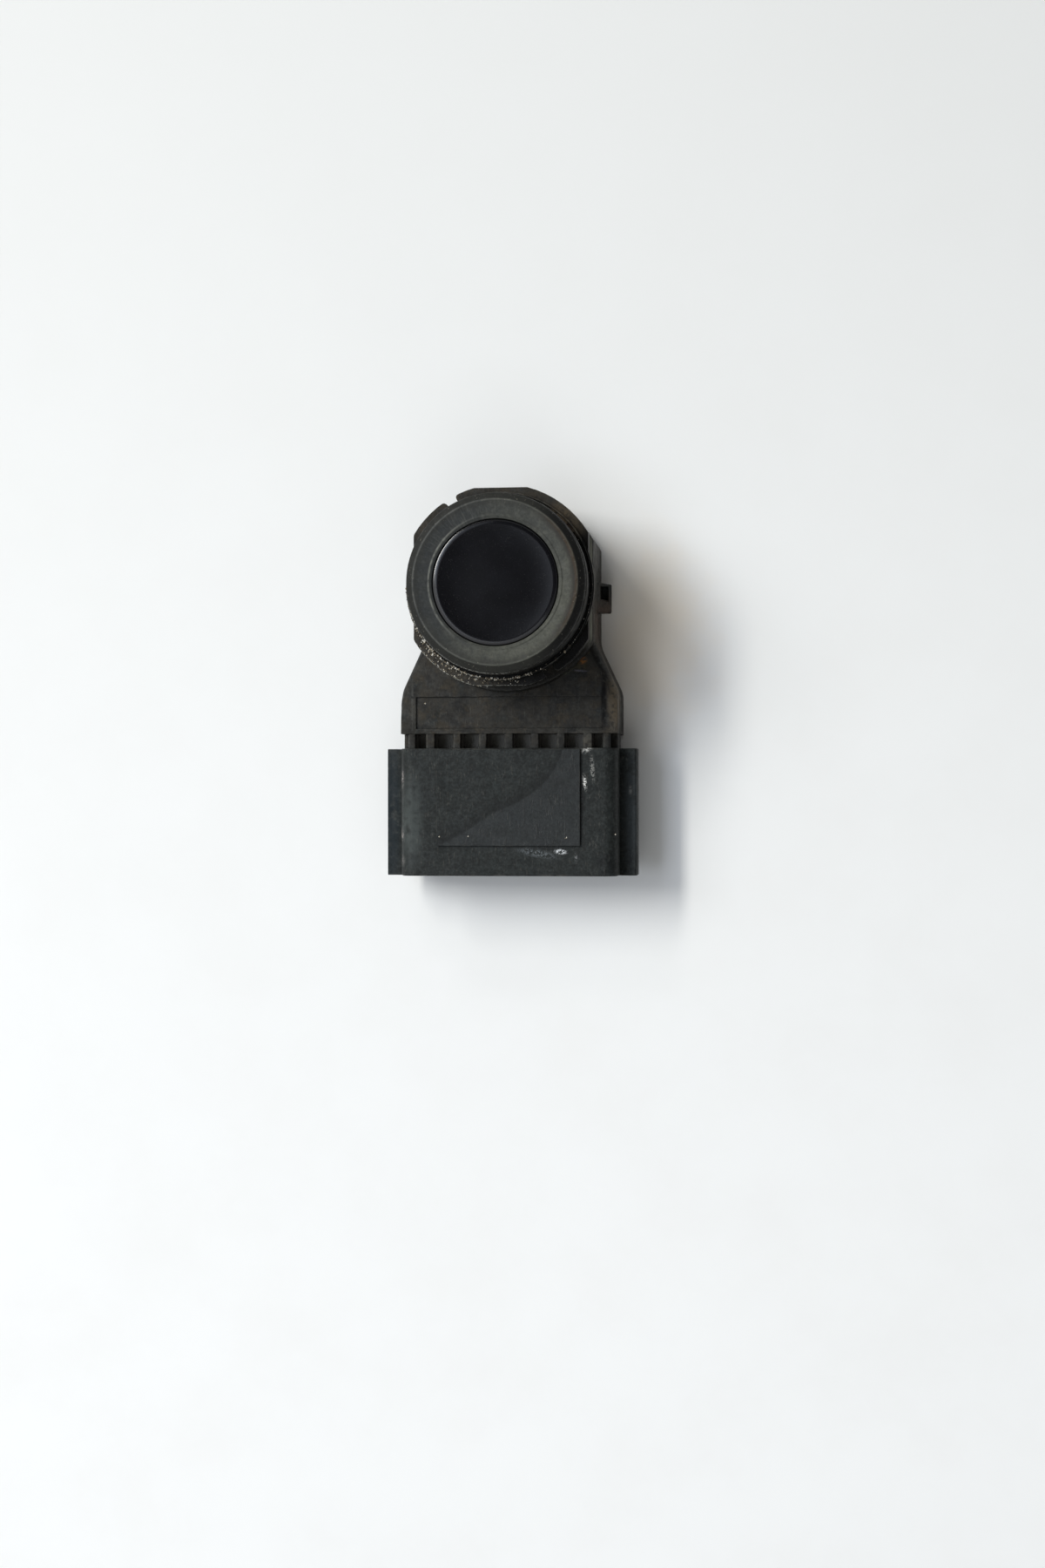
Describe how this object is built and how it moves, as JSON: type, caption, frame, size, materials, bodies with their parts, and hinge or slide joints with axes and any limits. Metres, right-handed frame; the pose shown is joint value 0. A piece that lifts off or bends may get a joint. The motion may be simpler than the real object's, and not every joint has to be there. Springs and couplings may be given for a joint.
{
  "type": "parking sensor",
  "caption": "Ultrasonic parking sensor: round barrel with a membrane in a soft ring, a lug ring and side catches, on a flat body with a rear cover and a plug shroud.",
  "frame": {"origin": "on the barrel's axis, at the flat rear face that the sensor rests on", "axes": "+Z along the barrel's axis in the sensing direction, -Y towards the plug, +X to the right seen from the front with the plug below"},
  "size_m": [0.0296, 0.0445, 0.0226],
  "materials": {
    "housing_nylon": "moulded glass filled nylon, worn and dusty",
    "cover_nylon": "moulded nylon, fine grain",
    "silicone": "matt silicone rubber, dusty",
    "membrane_lacquer": "black lacquer on drawn aluminium",
    "piezo_ceramic": "fired piezo ceramic",
    "absorber_foam": "fibre and foam damping pad",
    "carrier_plastic": "moulded high temperature plastic",
    "tinned_contact": "tin plated bronze",
    "copper_wire": "enamelled copper",
    "board_laminate": "green solder resist on glass epoxy",
    "ferrite": "pressed and fired ferrite",
    "component_epoxy": "moulded black epoxy",
    "can_aluminium": "drawn aluminium"
  },
  "bodies": {
    "root": {"housing": "housing_nylon", "rear_cover": "cover_nylon", "decoupling_ring": "silicone", "rear_damper": "silicone", "membrane_pot": "membrane_lacquer", "piezo_disc": "piezo_ceramic", "absorber": "absorber_foam", "contact_carrier": "carrier_plastic", "inner_contact_pin": "tinned_contact", "outer_contact_pin": "tinned_contact", "inner_piezo_lead": "copper_wire", "outer_piezo_lead": "copper_wire", "circuit_board": "board_laminate", "supply_terminal": "tinned_contact", "signal_terminal": "tinned_contact", "ground_terminal": "tinned_contact", "transformer_base": "carrier_plastic", "transformer_core": "ferrite", "transformer_winding": "copper_wire", "capacitor_base": "component_epoxy", "capacitor_can": "can_aluminium", "driver_chip": "component_epoxy", "resonator": "can_aluminium", "supply_diode": "component_epoxy", "tantalum_capacitor": "component_epoxy", "filter_capacitor_1": "carrier_plastic", "filter_capacitor_2": "carrier_plastic", "filter_capacitor_3": "carrier_plastic", "resistor_1": "component_epoxy", "resistor_2": "component_epoxy", "resistor_3": "component_epoxy", "resistor_4": "component_epoxy", "resistor_5": "component_epoxy", "resistor_6": "component_epoxy"}
  },
  "joints": []
}
